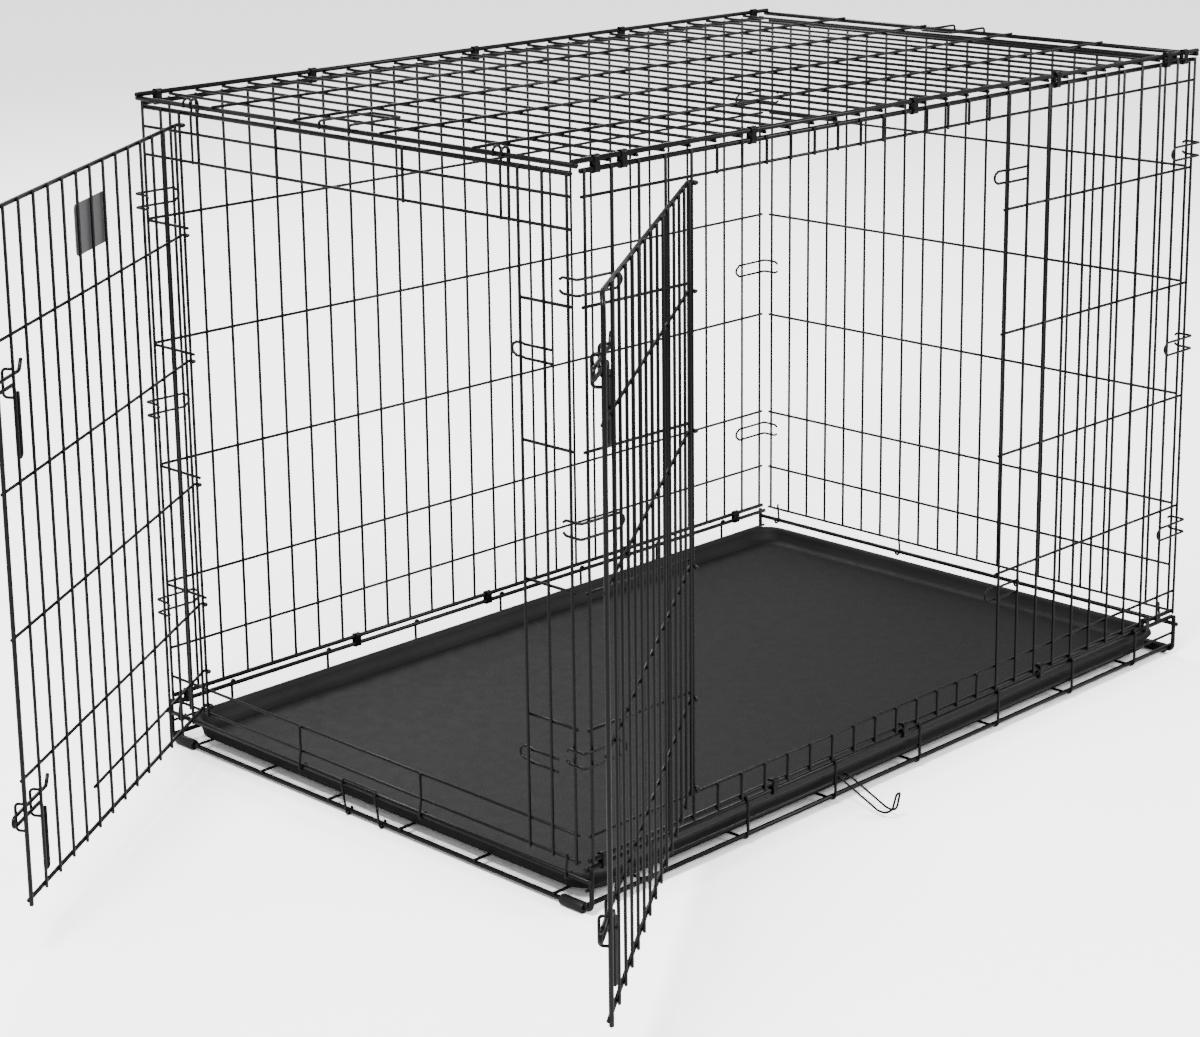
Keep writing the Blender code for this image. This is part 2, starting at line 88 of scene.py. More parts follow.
SIDE_CELLS = 28
SIDE_END_X = LENGTH / 2 - 0.013
SIDE_PITCH = 2 * SIDE_END_X / SIDE_CELLS
SIDE_PLANE = WIDTH / 2 - 0.003
END_CELLS = 20
END_END_Y = WIDTH / 2 - 0.017
END_PITCH = 2 * END_END_Y / END_CELLS
END_PLANE = LENGTH / 2 - 0.003
END_RIM_X = LENGTH / 2 - 0.0049
END_ROD_X = LENGTH / 2 - 0.010
SIDE_HINGE, SIDE_LATCH = 4, 18
END_HINGE, END_LATCH = 2, 18
SHORT_WIRES = (7, 13)
RIM_EYES = (0.4, 7, 13, 19.6)

DOOR_CELLS = 14
FIRST_WIRE = 0.012
EDGE_BACK = 0.008
DOOR_N = 0.0009
RAIL_N = DOOR_N + 2 * WIRE - BITE
SIDE_DOOR_Z = (0.092, HEIGHT - 0.044)
END_DOOR_Z = (0.067, HEIGHT - 0.030)
SIDE_DOOR_OPEN = math.radians(145)
END_DOOR_OPEN = math.radians(56)
EYE_RADIUS = 0.0042
RIM_RADIUS = 0.0024
END_RAIL_RADIUS = 0.0022
BOLT_N = 0.0081
STAPLE_N = 0.0122
SIDE_LATCH_Z = (0.176, 0.672)
END_LATCH_Z = (0.154, 0.580)

FLOOR_WIRE_Z = FLOOR_ROD_Z + ROD + WIRE - BITE
CROSS_WIRE_Z = FLOOR_WIRE_Z - 2 * WIRE + BITE
SIDE_FLOOR_Z = FLOOR_ROD_Z + 2 * ROD - BITE
FLOOR_WIRE_Y = (-0.300, -0.180, -0.060, 0.060, 0.180, 0.300)
BASE_UPRIGHTS = (2.3, 6.3, 10.2, 14.2, 18.2, 22.2, 25.8)
SIDE_RIM_Y = WIDTH / 2 - 0.0081
PAN_RAIL_Y = WIDTH / 2 - 0.00705
PAN_RAIL_Z = 0.028

# The camera's lens, place and aim are from a fit of the crate's corners.
CAMERA_LENS = 81.6
CAMERA_SHIFT_Y = -0.125
CAMERA_PLACE = (-2.332, -2.160, 1.206)
CAMERA_AIM = (0.6893, 0.6835, -0.2402)
CAMERA_ROLL = math.radians(-0.7)

# Brightness of the sky and the floor, as light on the crate and as the camera sees them.
SKY_LIGHT, SKY_SEEN = 0.55, 4.5
FLOOR_LIGHT, FLOOR_SEEN = 0.75, 3.6


def circle_points(centre, radius, start, stop, steps):
    """Points of an arc, in degrees, in a plane of two coordinates."""
    made = []
    for i in range(steps + 1):
        angle = math.radians(start + (stop - start) * i / steps)
        made.append((centre[0] + radius * math.cos(angle), centre[1] + radius * math.sin(angle)))
    return made


def eased(points, bend):
    """The same path with each sharp corner turned into a short curve."""
    points = [Vector(p) for p in points]
    made = [points[0]]
    for before, here, after in zip(points, points[1:], points[2:]):
        back, on = before - here, after - here
        sharp = back.angle(on, math.pi) < math.radians(150)
        size = min(bend, 0.45 * back.length, 0.45 * on.length)
        if not sharp or size < 0.0002:
            made.append(here)
            continue
        start, end = here + back.normalized() * size, here + on.normalized() * size
        for i in range(BEND_STEPS + 1):
            t = i / BEND_STEPS
            made.append(start * (1 - t) ** 2 + here * 2 * t * (1 - t) + end * t * t)
    made.append(points[-1])
    return made


def add_tube(verts, faces, points, radius):
    """One round wire with softened ends, added to the lists of a mesh."""
    steps = [(b - a).normalized() for a, b in zip(points, points[1:])]
    side = steps[0].orthogonal().normalized()
    rings = []
    for i, point in enumerate(points):
        along = steps[min(i, len(steps) - 1)]
        if 0 < i < len(steps):
            along = (steps[i - 1] + steps[i]).normalized()
        side = (side - side.dot(along) * along).normalized()
        rings.append((point, along, side.copy(), radius))
    soft = radius * 0.35
    point, along, side, _ = rings[0]
    rings.insert(0, (point, along, side, radius - soft))
    rings[1] = (point + along * soft, along, side, radius)
    point, along, side, _ = rings[-1]
    rings[-1] = (point - along * soft, along, side, radius)
    rings.append((point, along, side, radius - soft))
    first = len(verts)
    for point, along, side, size in rings:
        up = along.cross(side)
        for k in range(SIDES):
            angle = 2 * math.pi * k / SIDES
            verts.append(point + size * (side * math.cos(angle) + up * math.sin(angle)))
    for i in range(len(rings) - 1):
        for k in range(SIDES):
            a, b = first + i * SIDES + k, first + i * SIDES + (k + 1) % SIDES
            faces.append((a, b, b + SIDES, a + SIDES))
    last = first + (len(rings) - 1) * SIDES
    faces.append(tuple(range(first + SIDES - 1, first - 1, -1)))
    faces.append(tuple(range(last, last + SIDES)))


def show(name, verts, faces, material, body, nodes, smooth=True):
    """Makes a piece, gives it its finish, and lets it stand for CAD nodes."""
    data = bpy.data.meshes.new(name)
    data.from_pydata([tuple(v) for v in verts], [], faces)
    data.validate()
    data.update()
    data.materials.append(material)
    for face in data.polygons:
        face.use_smooth = smooth
    made = bpy.data.objects.new(name, data)
    bpy.context.scene.collection.objects.link(made)
    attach(made, body)
    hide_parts(*nodes)
    return made


def show_wires(node, wires, body, matrix=None, material=None, bend=0.004):
    """All the round wires that stand for one CAD node. Each wire is its points and its radius."""
    place = Matrix.Translation(SHIFT) @ (matrix or Matrix.Identity(4))
    verts, faces = [], []
    for points, radius in wires:
        path = [place @ p for p in eased(points, bend)]
        add_tube(verts, faces, path, radius)
    made = show(f"{node}_wire", verts, faces, material or wire_coat, body, [node])
    made.data.set_sharp_from_angle(angle=math.radians(50))
    return made


def new_material(name, colour, roughness, metallic=0.0):
    made = bpy.data.materials.new(name)
    made.use_nodes = True
    shader = made.node_tree.nodes["Principled BSDF"]
    shader.inputs["Base Color"].default_value = (*colour, 1)
    shader.inputs["Roughness"].default_value = roughness
    shader.inputs["Metallic"].default_value = metallic
    return made, made.node_tree, shader


def noise(tree, scale, detail=3.0):
    texture = tree.nodes.new("ShaderNodeTexNoise")
    texture.inputs["Scale"].default_value = scale
    texture.inputs["Detail"].default_value = detail
    coordinates = tree.nodes.new("ShaderNodeTexCoord")
    tree.links.new(coordinates.outputs["Object"], texture.inputs["Vector"])
    return texture


def bump(tree, shader, height, strength, distance):
    made = tree.nodes.new("ShaderNodeBump")
    made.inputs["Strength"].default_value = strength
    made.inputs["Distance"].default_value = distance
    tree.links.new(height, made.inputs["Height"])
    tree.links.new(made.outputs["Normal"], shader.inputs["Normal"])


def spread(tree, factor, low, high, socket):
    """Drives a socket from a texture, between two values."""
    made = tree.nodes.new("ShaderNodeMapRange")
    made.inputs["From Min"].default_value = 0.3
    made.inputs["From Max"].default_value = 0.7
    made.inputs["To Min"].default_value = low
    made.inputs["To Max"].default_value = high
    tree.links.new(factor, made.inputs["Value"])
    tree.links.new(made.outputs["Result"], socket)


def coat_material():
    """Black electro-coated steel wire: slightly glossy, with a faint unevenness in the coat."""
    made, tree, shader = new_material("wire_coat", (0.0012, 0.0012, 0.0013), 0.3, 0.0)
    shader.inputs["Specular IOR Level"].default_value = 0.3
    shader.inputs["Coat Weight"].default_value = 0.1
    shader.inputs["Coat Roughness"].default_value = 0.18
    fine = noise(tree, 260.0)
    spread(tree, fine.outputs["Fac"], 0.24, 0.38, shader.inputs["Roughness"])
    bump(tree, shader, noise(tree, 900.0).outputs["Fac"], 0.12, 0.0002)
    return made


def clip_material():
    made, tree, shader = new_material("clip_band", (0.004, 0.004, 0.0045), 0.26, 0.2)
    shader.inputs["Specular IOR Level"].default_value = 0.35
    spread(tree, noise(tree, 300.0).outputs["Fac"], 0.2, 0.38, shader.inputs["Roughness"])
    return made


def foot_material():
    made, tree, shader = new_material("foot_plastic", (0.006, 0.006, 0.007), 0.5)
    bump(tree, shader, noise(tree, 700.0).outputs["Fac"], 0.2, 0.0003)
    return made


def plate_material():
    made, tree, shader = new_material("plate_finish", (0.24, 0.24, 0.25), 0.36, 0.6)
    spread(tree, noise(tree, 180.0).outputs["Fac"], 0.3, 0.45, shader.inputs["Roughness"])
    return made


def pan_material(name, dark, pale, strength):
    """Pebble-grained moulded plastic with faint scuffs."""
    made, tree, shader = new_material(name, dark, 0.6)
    shader.inputs["Specular IOR Level"].default_value = 0.3
    scuffs = noise(tree, 9.0, 2.0)
    ramp = tree.nodes.new("ShaderNodeValToRGB")
    ramp.color_ramp.elements[0].position = 0.35
    ramp.color_ramp.elements[0].color = (*dark, 1)
    ramp.color_ramp.elements[1].position = 0.75
    ramp.color_ramp.elements[1].color = (*pale, 1)
    tree.links.new(scuffs.outputs["Fac"], ramp.inputs["Fac"])
    tree.links.new(ramp.outputs["Color"], shader.inputs["Base Color"])
    spread(tree, noise(tree, 60.0).outputs["Fac"], 0.56, 0.62, shader.inputs["Roughness"])
    pebbles = tree.nodes.new("ShaderNodeTexVoronoi")
    pebbles.feature = "SMOOTH_F1"
    pebbles.inputs["Scale"].default_value = 420.0
    coordinates = tree.nodes.new("ShaderNodeTexCoord")
    tree.links.new(coordinates.outputs["Object"], pebbles.inputs["Vector"])
    bump(tree, shader, pebbles.outputs["Distance"], strength, 0.0008)
    return made


def side_x(index):
    return -SIDE_END_X + index * SIDE_PITCH


def end_y(index):
    return END_END_Y - index * END_PITCH


def upright(x, low, high, radius=WIRE, n=0.0):
    return ([(x, n, low), (x, n, high)], radius)


def rail(z, start, end, radius=WIRE):
    n = -(WIRE + radius - BITE)
    return ([(start, n, z), (end, n, z)], radius)


def keeper(jamb, z):
    path = [(jamb + 0.041, -0.0029), (jamb + 0.003, -0.0029)]
    path += [(jamb - 0.003, -0.0056), (jamb - 0.012, -0.0056)]
    nose = [(jamb - 0.012 - dx, -0.0056, z + dz) for dx, dz in circle_points((0, 0), 0.006, 80, -80, 6)]
    points = [(x, n, z + 0.007) for x, n in path] + nose + [(x, n, z - 0.007) for x, n in reversed(path)]
    return (points, THIN)


def connectors():
    """The long loops that wrap round a side panel's corners, in the panel's own axes."""
    made = []
    n = WIRE + THIN - BITE
    tip = END_END_Y - 0.008 - SIDE_PLANE
    for end in (-1, 1):
        face = end * (END_PLANE + WIRE + THIN + 0.0005)
        back = end * (LENGTH / 2 - 0.054)
        for z in CONNECTOR_Z:
            turn = [(back - end * dx, n, z + dz) for dx, dz in circle_points((0, 0), 0.006, 80, -80, 6)]
            points = [(face, tip, z + 0.005), (face, tip + 0.004, z + 0.008)]
            points += [(face, n, z + 0.008), (back, n, z + 0.008)]
            points += turn + [(back, n, z - 0.008), (face, n, z - 0.008), (face, tip + 0.004, z - 0.008)]
            made.append((points + [(face, tip, z - 0.005)], THIN))
    return made


def side_panel(node, outward, has_door):
    low, high = SIDE_FOOT_Z - 0.003, SIDE_TOP_Z + 0.003
    reach = SIDE_END_X + 0.0025
    wires = []
    for i in range(SIDE_CELLS + 1):
        x = side_x(i)
        if has_door and SIDE_HINGE < i < SIDE_LATCH:
            wires.append(upright(x, low, SILL_Z + 0.002))
            wires.append(upright(x, HEADER_Z - 0.002, high))
        else:
            wires.append(upright(x, low, high))
    wires.append(rail(SIDE_TOP_Z, -reach, reach, ROD))
    wires.append(rail(SIDE_FOOT_Z, -reach, reach, ROD))
    if has_door:
        wires.append(rail(HEADER_Z, -reach, reach))
        wires.append(rail(SILL_Z, -reach, reach))
        for z in LEVELS:
            wires.append(rail(z, -reach, side_x(SIDE_HINGE) + 0.003))
            wires.append(rail(z, side_x(SIDE_LATCH) - 0.003, reach))
        wires += [keeper(side_x(SIDE_LATCH), z) for z in SIDE_LATCH_Z]
    else:
        wires += [rail(z, -reach, reach) for z in LEVELS + [LOW_LEVEL]]
    wires += connectors()
    matrix = Matrix.Translation((0, outward * SIDE_PLANE, 0)) @ Matrix.Diagonal((1, outward, 1, 1))
    show_wires(node, wires, "root", matrix)


def rim_eye(x, top):
    axis_n = END_RIM_X - END_PLANE
    hook = [(x, n, z) for n, z in circle_points((axis_n, END_RIM_Z), 0.0047, 40, -210, 12)]
    return ([(x, 0, top), (x, 0, SILL_LOW_Z), (x, 0.0014, END_RIM_Z + 0.0095)] + hook, THIN)


def top_hook(x):
    path = [(-0.0058, HEADER_LOW_Z - 0.003), (-0.0058, END_TOP_Z - 0.004), (-0.0074, HEIGHT - 0.012)]
    path += circle_points((-0.0020, HEIGHT - 0.0045), 0.0055, 180, -20, 8)
    return ([(x, n, z) for n, z in path] + [(x, 0.0034, HEIGHT - 0.009)], THIN)


def end_panel(node, end, has_door, body):
    low, high = SILL_LOW_Z - 0.0025, END_TOP_Z + 0.003
    reach = END_END_Y + 0.0025
    wires = []
    for i in range(END_CELLS + 1):
        x = -end_y(i)
        if not has_door:
            wires.append(upright(x, SILL_LOW_Z + 0.006 if i in SHORT_WIRES else low, high))
        elif i <= END_HINGE or i >= END_LATCH:
            wires.append(upright(x, low, high))
        elif i in SHORT_WIRES:
            wires.append(upright(x, HEADER_LOW_Z - 0.002, high))
    for i in RIM_EYES:
        top = SILL_Z + 0.002 if has_door and i in SHORT_WIRES else SILL_LOW_Z + 0.006
        wires.append(rim_eye(-end_y(i), top))
    wires.append(rail(END_TOP_Z, -reach, reach, ROD))
    wires.append(rail(SILL_LOW_Z, -reach, reach))
    if has_door:
        wires += [rail(z, -reach, reach) for z in (HEADER_Z, HEADER_LOW_Z, SILL_Z)]
        for z in LEVELS:
            wires.append(rail(z, -reach, -end_y(END_HINGE) + 0.003))
            wires.append(rail(z, -end_y(END_LATCH) - 0.003, reach))
        wires += [keeper(-end_y(END_LATCH), z) for z in END_LATCH_Z]
        wires += [top_hook(-end_y(i)) for i in (2.4, 2.75, 17.1, 17.45)]
    else:
        wires += [rail(z, -reach, reach) for z in LEVELS + [LOW_LEVEL]]
    turn = Matrix(((0, end, 0, 0), (-1, 0, 0, 0), (0, 0, 1, 0), (0, 0, 0, 1)))
    show_wires(node, wires, body, Matrix.Translation((end * END_PLANE, 0, 0)) @ turn)


def door_rail(z, end, radius=WIRE):
    n = RAIL_N + radius - WIRE
    reach = EYE_RADIUS + radius - WIRE
    eye = [(x, pn, z) for x, pn in circle_points((0, 0), reach, 62, 330, 14)]
    return ([(end, n, z), (0.0065, n, z)] + eye, radius)


def staple(x, z, n):
    path = [(n + 0.0006, -0.014), (STAPLE_N, -0.014), (STAPLE_N, 0.014), (n + 0.0006, 0.014)]
    return ([(x, pn, z + pz) for pn, pz in path], THIN)


def bolt_wire(edge, z):
    path = [(-0.074, 0.016), (-0.068, 0.005), (0.011, 0.005)]
    path += circle_points((0.0115, 0), 0.005, 75, -75, 6)
    path += [(0.011, -0.005), (-0.053, -0.005), (-0.054, -0.012), (-0.054, -0.074)]
    path += circle_points((-0.058, -0.0745), 0.004, -10, -170, 6)
    path += [(-0.062, -0.072), (-0.062, -0.014)]
    return ([(edge + x, BOLT_N, z + pz) for x, pz in path], BOLT)


def door(node, body, closed, opened, width, span, low_rail, latch_levels, bolt_bodies):
    """A door's wires, made shut in its doorway and swung open to where the CAD's door stands."""
    low, high = span
    edge = width - EDGE_BACK
    pitch = (edge - FIRST_WIRE) / DOOR_CELLS
    places = [FIRST_WIRE + i * pitch for i in range(DOOR_CELLS)]
    edge_n = DOOR_N + 0.0011
    wires = [upright(x, low - 0.003, high + 0.003, WIRE, DOOR_N) for x in places]
    frame_n = RAIL_N + 0.0005
    corner = 0.010
    rim = [(0.02, frame_n, high), (edge - corner, frame_n, high)]
    rim += [(edge, edge_n, high - corner), (edge, edge_n, low - 0.006)]
    wires.append((rim, RIM_RADIUS))
    wires += [door_rail(high, edge - corner, END_RAIL_RADIUS), door_rail(low, edge + 0.002, END_RAIL_RADIUS)]
    wires += [door_rail(z - 0.008, edge + 0.002) for z in LEVELS]
    if low_rail:
        wires.append(door_rail(LOW_LEVEL - 0.008, places[9] + 0.003))
    for z in latch_levels:
        wires.append(staple(edge, z, edge_n))
        wires.append(staple(places[-1], z, DOOR_N))
    origin = closed.to_translation()
    turn = Matrix.Translation(origin) @ Matrix.Rotation(opened, 4, "Z") @ Matrix.Translation(-origin)
    matrix = turn @ closed
    show_wires(node, wires, body, matrix, bend=0.005)
    for label, z, bolt_body in zip(("lower", "upper"), latch_levels, bolt_bodies):
        show_wires(f"{node}_bolt_{label}", [bolt_wire(edge, z)], bolt_body, matrix, bend=0.003)
    return matrix


def axes(origin, along, outward):
    turn = Matrix((Vector(along), Vector(outward), Vector((0, 0, 1)))).transposed().to_4x4()
    return Matrix.Translation(origin) @ turn


def top_panel():
    half = WIDTH / 2 - 0.00705
    wires = []
    for x in (-(LENGTH / 2 - 0.005), LENGTH / 2 - 0.005):
        wires.append(([(x, -half - 0.003, TOP_CROSS_Z), (x, half + 0.003, TOP_CROSS_Z)], ROD))
    for i in range(1, SIDE_CELLS):
        x = side_x(i)
        wires.append(([(x, -half - 0.003, TOP_CROSS_Z), (x, half + 0.003, TOP_CROSS_Z)], WIRE))
    reach = LENGTH / 2 - 0.0015
    for y in (-half, half):
        z = TOP_CROSS_Z + WIRE + ROD - BITE
        wires.append(([(-reach, y, z), (reach, y, z)], ROD))
    for i in range(1, 5):
        y = -half + i * 2 * half / 5
        z = TOP_CROSS_Z + 2 * WIRE - BITE
        wires.append(([(-reach, y, z), (reach, y, z)], WIRE))
    show_wires("top_panel", wires, "root")


def base():
    wires = []
    for x in (-END_ROD_X, END_ROD_X):
        y, z = WIDTH / 2 - 0.003, SIDE_RIM_Z + 0.003
        wires.append(([(x, -y, z), (x, -y, FLOOR_ROD_Z), (x, y, FLOOR_ROD_Z), (x, y, z)], ROD))
    for i in BASE_UPRIGHTS:
        x = side_x(i)
        y = WIDTH / 2 - 0.00405
        curl = circle_points((SIDE_RIM_Y, SIDE_RIM_Z), ROD + WIRE - BITE, 0, 120, 6)
        left = [(x, -py, pz) for py, pz in reversed(curl)]
        right = [(x, py, pz) for py, pz in curl]
        path = left + [(x, -y, SIDE_RIM_Z - 0.004), (x, -y, CROSS_WIRE_Z), (x, y, CROSS_WIRE_Z)]
        wires.append((path + [(x, y, SIDE_RIM_Z - 0.004)] + right, WIRE))
    reach = LENGTH / 2 - 0.006
    for y in FLOOR_WIRE_Y:
        wires.append(([(-reach, y, FLOOR_WIRE_Z), (reach, y, FLOOR_WIRE_Z)], WIRE))
    for side in (-1, 1):
        for z in (SIDE_RIM_Z, SIDE_FLOOR_Z):
            wires.append(([(-reach, side * SIDE_RIM_Y, z), (reach, side * SIDE_RIM_Y, z)], ROD))
        y = side * PAN_RAIL_Y
        wires.append(([(-reach, y, PAN_RAIL_Z), (reach, y, PAN_RAIL_Z)], WIRE))
        x = side * END_RIM_X
        wires.append(([(x, -WIDTH / 2, END_RIM_Z), (x, WIDTH / 2, END_RIM_Z)], ROD))
    show_wires("base", wires, "root", bend=0.008)


def pan_stop():
    hook = circle_points((-END_ROD_X, FLOOR_ROD_Z), 0.0045, 45, -160, 10)
    hook.append((-LENGTH / 2 + 0.0003, END_RIM_Z + 0.0005))
    hook.append((-END_RIM_X - 0.0014, END_RIM_Z + ROD + 0.0021))
    points = [(x, -0.028, z) for x, z in hook] + [(x, 0.028, z) for x, z in reversed(hook)]
    show_wires("pan_stop", [(points, 0.0014)], "pan_stop", bend=0.004)


def fold_hook():
    centre = Vector((side_x(BASE_UPRIGHTS[2]) + 0.016, -PAN_RAIL_Y, PAN_RAIL_Z))
    shape = [(0.007, out, z) for out, z in circle_points((0, 0), 0.0036, 225, 45, 8)]
    shape += [(0.007, 0.056, -0.0205), (0.006, 0.066, -0.0215), (0.004, 0.074, -0.016), (0.003, 0.079, 0.004)]
    points = [centre + Vector((-dx, -out, z)) for dx, out, z in shape]
    points += [centre + Vector((dx, -out, z)) for dx, out, z in reversed(shape)]
    show_wires("fold_hook", [(points, 0.0013)], "fold_hook", bend=0.006)


def top_grips():
    z = TOP_CROSS_Z + 2 * ROD + 0.0015
    for end, label in ((-1, "door_end"), (1, "plain_end")):
        outer, inner = end * (LENGTH / 2 + 0.0004), end * (LENGTH / 2 - 0.072)
        path = [(outer, -0.024, z - 0.009), (outer, -0.024, z), (inner, -0.024, z)]
        path += [(inner, 0.024, z), (outer, 0.024, z), (outer, 0.024, z - 0.009)]
        show_wires(f"top_grip_{label}", [(path, THIN)], "root", bend=0.006)


def clips(record):
    """Each clip is a crimped band: flat at its middle, waisted between the two rods."""
    for row in record["subparts"]:
        node = row["node"]
        if "clip" not in node:
            continue
        low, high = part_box(node)
        middle = (low + high) / 2
        half = (high - low) / 2
        verts, faces = [], []
        columns, rows = 5, 24
        for i in range(columns):
            x = low.x + (high.x - low.x) * i / (columns - 1)
            flare = 0.0003 if i in (0, columns - 1) else 0.0
            for k in range(rows):
                angle = 2 * math.pi * k / rows
                c, s = math.cos(angle), math.sin(angle)
                y = math.copysign(abs(c) ** 0.55, c) * (half.y - 0.0003 + flare)
                z = math.copysign(abs(s) ** 0.45, s) * (half.z - 0.0003 + flare)
                waist = 1 - 0.16 * math.exp(-((z / (half.z * 0.3)) ** 2))
                verts.append(Vector((x, middle.y + y * waist, middle.z + z)))
        for i in range(columns - 1):
            for k in range(rows):
                a, b = i * rows + k, i * rows + (k + 1) % rows
                faces.append((a, b, b + rows, a + rows))
        made = show(f"{node}_band", verts, faces, clip_band, "root", [node])
        thicken = made.modifiers.new("thickness", "SOLIDIFY")
        thicken.thickness = 0.0009
        thicken.offset = -1
        evaluated = made.evaluated_get(bpy.context.evaluated_depsgraph_get())
        data = bpy.data.meshes.new_from_object(evaluated)
        made.modifiers.clear()
        made.data = data


def feet():
    """A split plastic sleeve with rounded ends on each end of the floor rods."""
    for end, end_label in ((-1, "door_end"), (1, "plain_end")):
        for label in ("front", "back"):
            node = f"foot_{end_label}_{label}"
            low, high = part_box(node)
            axis_x, radius = (low.x + high.x) / 2, (high.z - low.z) / 2
            verts, faces = [], []
            profile = [(0.0, 0.62), (0.0, 0.86), (0.0012, 1.0), (0.5, 1.0)]
            profile += [(0.9988, 1.0), (1.0, 0.86), (1.0, 0.62)]
            rows = 24
            span = high.y - low.y
            for place, share in profile:
                if 0 < place < 0.01:
                    y = low.y + 0.0015
                elif 0.99 < place < 1:
                    y = high.y - 0.0015
                else:
                    y = low.y + span * place
                for k in range(rows):
                    angle = 2 * math.pi * k / rows
                    x, z = math.cos(angle) * radius * share, math.sin(angle) * radius * share
                    z = max(z, -radius * 0.97)
                    verts.append(Vector((axis_x + x, y, low.z + radius + z)))
            for i in range(len(profile) - 1):
                for k in range(rows):
                    a, b = i * rows + k, i * rows + (k + 1) % rows
                    faces.append((a, b, b + rows, a + rows))
            faces.append(tuple(range(rows - 1, -1, -1)))
            last = (len(profile) - 1) * rows
            faces.append(tuple(range(last, last + rows)))
            made = show(f"{node}_sleeve", verts, faces, foot_plastic, "root", [node])
            made.data.set_sharp_from_angle(angle=math.radians(40))


def rounded_ring(half_x, half_y, corner, z, steps=8):
    made = []
    for sx, sy, start in ((1, 1, 0), (-1, 1, 90), (-1, -1, 180), (1, -1, 270)):
        centre = (sx * (half_x - corner), sy * (half_y - corner))
        made += [(x, y, z) for x, y in circle_points(centre, corner, start, start + 90, steps)]
    return made


def pan():
    """The moulded tray: rounded corners, a rolled rim, a coved inner wall and a flat grained floor. The rim
    and inner wall get a lighter copy of the plastic as painted sheen.
    """
    low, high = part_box("pan")
    middle = (low + high) / 2
    half = (high - low) / 2
    bottom, top = low.z, high.z
    profile = [
        (0.0120, bottom, 0.030),
        (0.0085, bottom + 0.0010, 0.032),
        (0.0050, top - 0.0050, 0.034),
        (0.0012, top - 0.0046, 0.036),
        (0.0000, top - 0.0030, 0.037),
        (0.0004, top - 0.0010, 0.037),
        (0.0018, top, 0.036),
        (0.0048, top, 0.034),
        (0.0068, top - 0.0012, 0.033),
        (0.0082, top - 0.0050, 0.032),
        (0.0110, top - 0.0140, 0.030),
        (0.0150, bottom + 0.0042, 0.027),
        (0.0210, bottom + 0.0026, 0.024),
        (0.0260, bottom + 0.0024, 0.020),
    ]
    verts, faces = [], []
    rings = []
    for inset, z, corner in profile:
        ring = rounded_ring(half.x - inset, half.y - inset, corner, z)
        rings.append(len(verts))
        verts += [Vector((middle.x + x, middle.y + y, pz)) for x, y, pz in ring]
    count = len(ring)
    for a, b in zip(rings, rings[1:]):
        for k in range(count):
            faces.append((a + k, a + (k + 1) % count, b + (k + 1) % count, b + k))
    faces.append(tuple(range(count - 1, -1, -1)))
    faces.append(tuple(rings[-1] + k for k in range(count)))
    made = show("pan_tray", verts, faces, pan_floor, "pan", ["pan"])
    # The rim's top and inner wall take a lighter copy of the plastic: painted sheen, with the same random
    # scuff tone on it.
    made.data.materials.append(pan_rim_sheen_and_scuffs)
    for face in made.data.polygons:
        ring = min(face.vertices) // count
        if 5 <= ring <= 11 and len(face.vertices) == 4:
            face.material_index = 1
    made.data.set_sharp_from_angle(angle=math.radians(50))


def name_plate(matrix):
    """A blank plate with rounded corners and a thin raised border."""
    verts, faces = [], []
    width = (END_LATCH - END_HINGE) * END_PITCH
    middle_z = HEIGHT - 0.0885
    front, back = RAIL_N + 0.0004, DOOR_N + WIRE + 0.0005
    layers = [(0.042, 0.0265, back), (0.042, 0.0265, front), (0.0405, 0.025, front + 0.0002)]
    layers += [(0.0385, 0.023, front + 0.0001), (0.0378, 0.0223, front - 0.0005)]
    for half_x, half_z, n in layers:
        for x, z, _ in rounded_ring(half_x, half_z, 0.005, 0, 5):
            verts.append(Matrix.Translation(SHIFT) @ matrix @ Vector((width / 2 + x, n, middle_z + z)))
    count = len(verts) // len(layers)
    for i in range(len(layers) - 1):
        for k in range(count):
            a, b = i * count + k, i * count + (k + 1) % count
            faces.append((a, b, b + count, a + count))
    faces.append(tuple(range(count - 1, -1, -1)))
    faces.append(tuple(range((len(layers) - 1) * count, len(layers) * count)))
    show("blank_plate", verts, faces, plate_finish, "end_door", ["name_plate"], smooth=False)


def seen_or_lit(tree, lit, seen, socket):
    """One value for the light that falls on things and another for what the camera sees directly."""
    path = tree.nodes.new("ShaderNodeLightPath")
    pick = tree.nodes.new("ShaderNodeMapRange")
    pick.inputs["To Min"].default_value = lit
    pick.inputs["To Max"].default_value = seen
    tree.links.new(path.outputs["Is Camera Ray"], pick.inputs["Value"])
    tree.links.new(pick.outputs["Result"], socket)


def floor_material():
    """A white studio sweep that the camera sees almost burnt out, with soft shadows left on it."""
    made = bpy.data.materials.new("studio_floor")
    made.use_nodes = True
    tree = made.node_tree
    tree.nodes.clear()
    diffuse = tree.nodes.new("ShaderNodeBsdfDiffuse")
    output = tree.nodes.new("ShaderNodeOutputMaterial")
    grey = tree.nodes.new("ShaderNodeCombineColor")
    for channel in ("Red", "Green", "Blue"):
        seen_or_lit(tree, FLOOR_LIGHT, FLOOR_SEEN, grey.inputs[channel])
    tree.links.new(grey.outputs["Color"], diffuse.inputs["Color"])
    tree.links.new(diffuse.outputs["BSDF"], output.inputs["Surface"])
    return made


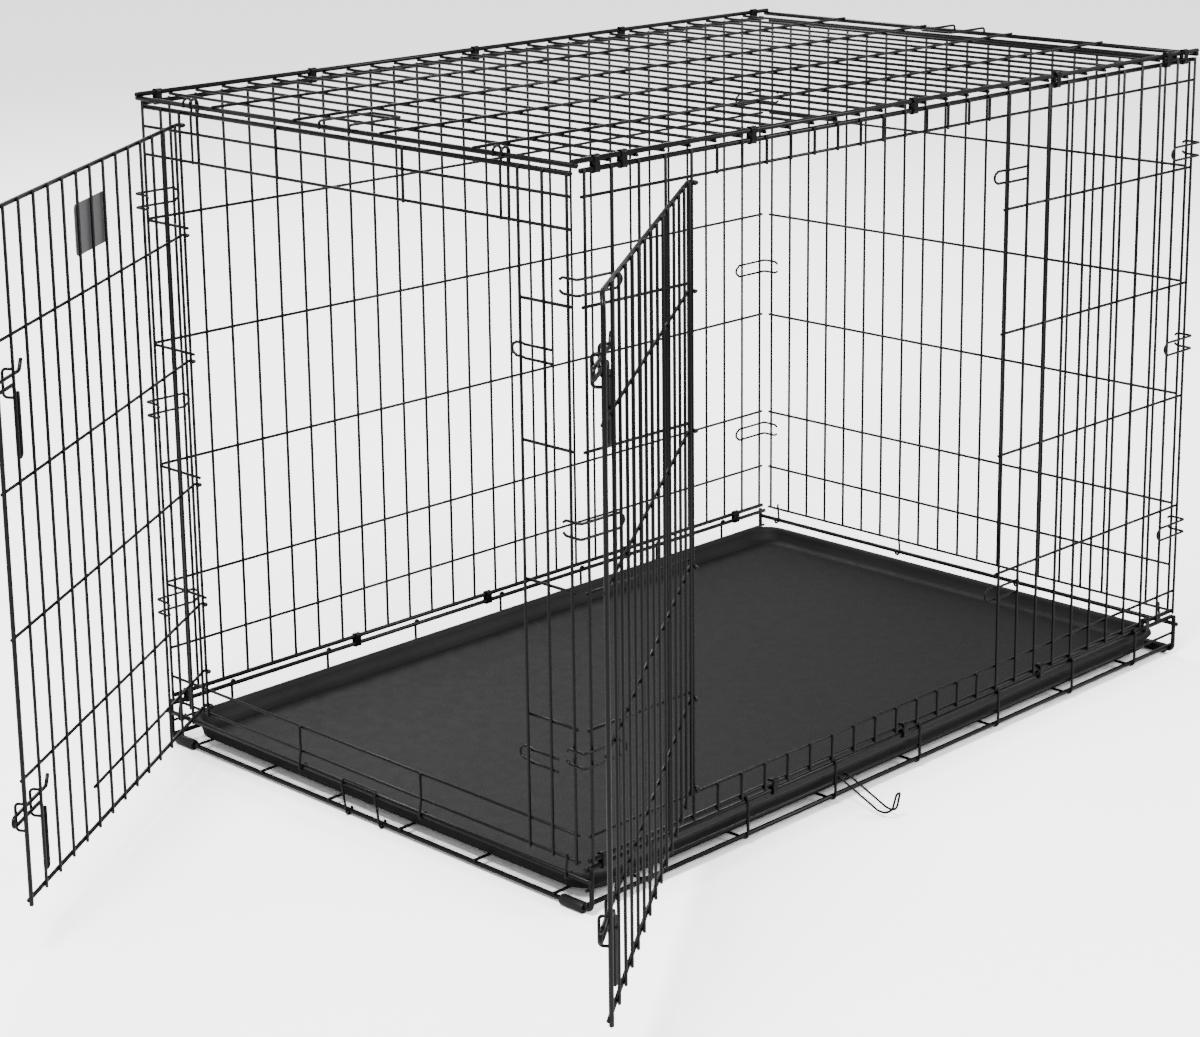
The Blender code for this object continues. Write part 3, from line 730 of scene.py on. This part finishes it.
def stage_and_lights():
    data = bpy.data.meshes.new("floor")
    size = 14.0
    corners = [(-size, -size, 0), (size, -size, 0), (size, size, 0), (-size, size, 0)]
    data.from_pydata(corners, [], [(0, 1, 2, 3)])
    floor = bpy.data.objects.new("floor", data)
    bpy.context.scene.collection.objects.link(floor)
    data.materials.append(floor_material())
    world = bpy.data.worlds.new("studio")
    bpy.context.scene.world = world
    world.use_nodes = True
    tree = world.node_tree
    tree.nodes["Background"].inputs["Color"].default_value = (1, 1, 1, 1)
    seen_or_lit(tree, SKY_LIGHT, SKY_SEEN, tree.nodes["Background"].inputs["Strength"])
    for name, place, energy, width in (
        ("key", (-2.4, -1.0, 3.4), 110, 0.9),
        ("fill", (1.8, -3.2, 2.6), 60, 1.2),
        ("back", (1.6, 3.0, 3.2), 60, 1.2),
    ):
        light = bpy.data.lights.new(name, "AREA")
        light.energy = energy
        light.size = width
        item = bpy.data.objects.new(name, light)
        item.location = Vector(place) + SHIFT
        aim = Vector((0, 0, 0.4)) + SHIFT - item.location
        item.rotation_euler = aim.to_track_quat("-Z", "Y").to_euler()
        bpy.context.scene.collection.objects.link(item)


def camera():
    data = bpy.data.cameras.new("camera")
    data.sensor_fit = "HORIZONTAL"
    data.sensor_width = 36
    data.lens = CAMERA_LENS
    data.shift_y = CAMERA_SHIFT_Y
    item = bpy.data.objects.new("camera", data)
    turn = Vector(CAMERA_AIM).to_track_quat("-Z", "Y").to_matrix().to_4x4()
    roll = Matrix.Rotation(CAMERA_ROLL, 4, "Z")
    item.matrix_world = Matrix.Translation(Vector(CAMERA_PLACE) + SHIFT) @ turn @ roll
    bpy.context.scene.collection.objects.link(item)
    bpy.context.scene.camera = item


for item in list(bpy.data.objects):
    bpy.data.objects.remove(item, do_unlink=True)
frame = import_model()
top_low, top_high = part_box("top_panel")
SHIFT = Vector(((top_low.x + top_high.x) / 2, (top_low.y + top_high.y) / 2, 0))

wire_coat = coat_material()
clip_band = clip_material()
foot_plastic = foot_material()
plate_finish = plate_material()
pan_floor = pan_material("pan_floor", (0.0080, 0.0080, 0.0088), (0.0088, 0.0088, 0.0096), 0.5)
# The pan's rim and inner wall: the same plastic painted lighter as sheen, with random scuff tone.
pan_rim_sheen_and_scuffs = pan_material("pan_rim_sheen_and_scuffs", (0.012, 0.012, 0.013), (0.022, 0.022, 0.0235), 0.35)

base()
side_panel("side_front", -1, True)
side_panel("side_back", 1, False)
end_panel("front_end", -1, True, "root")
end_panel("rear_end", 1, False, "rear_end")
top_panel()
side_closed = axes((side_x(SIDE_HINGE), -SIDE_PLANE, 0), (1, 0, 0), (0, -1, 0))
side_width = (SIDE_LATCH - SIDE_HINGE) * SIDE_PITCH
side_bolts = ("side_bolt_lower", "side_bolt_upper")
door(
    "side_door", "side_door", side_closed, -SIDE_DOOR_OPEN, side_width,
    SIDE_DOOR_Z, False, SIDE_LATCH_Z, side_bolts,
)
end_closed = axes((-END_PLANE, end_y(END_HINGE), 0), (0, -1, 0), (-1, 0, 0))
end_width = (END_LATCH - END_HINGE) * END_PITCH
end_bolts = ("end_bolt_lower", "end_bolt_upper")
end_matrix = door(
    "end_door", "end_door", end_closed, -END_DOOR_OPEN, end_width,
    END_DOOR_Z, True, END_LATCH_Z, end_bolts,
)
name_plate(end_matrix)
clips(frame["record"])
feet()
pan()
pan_stop()
fold_hook()
top_grips()
stage_and_lights()
camera()
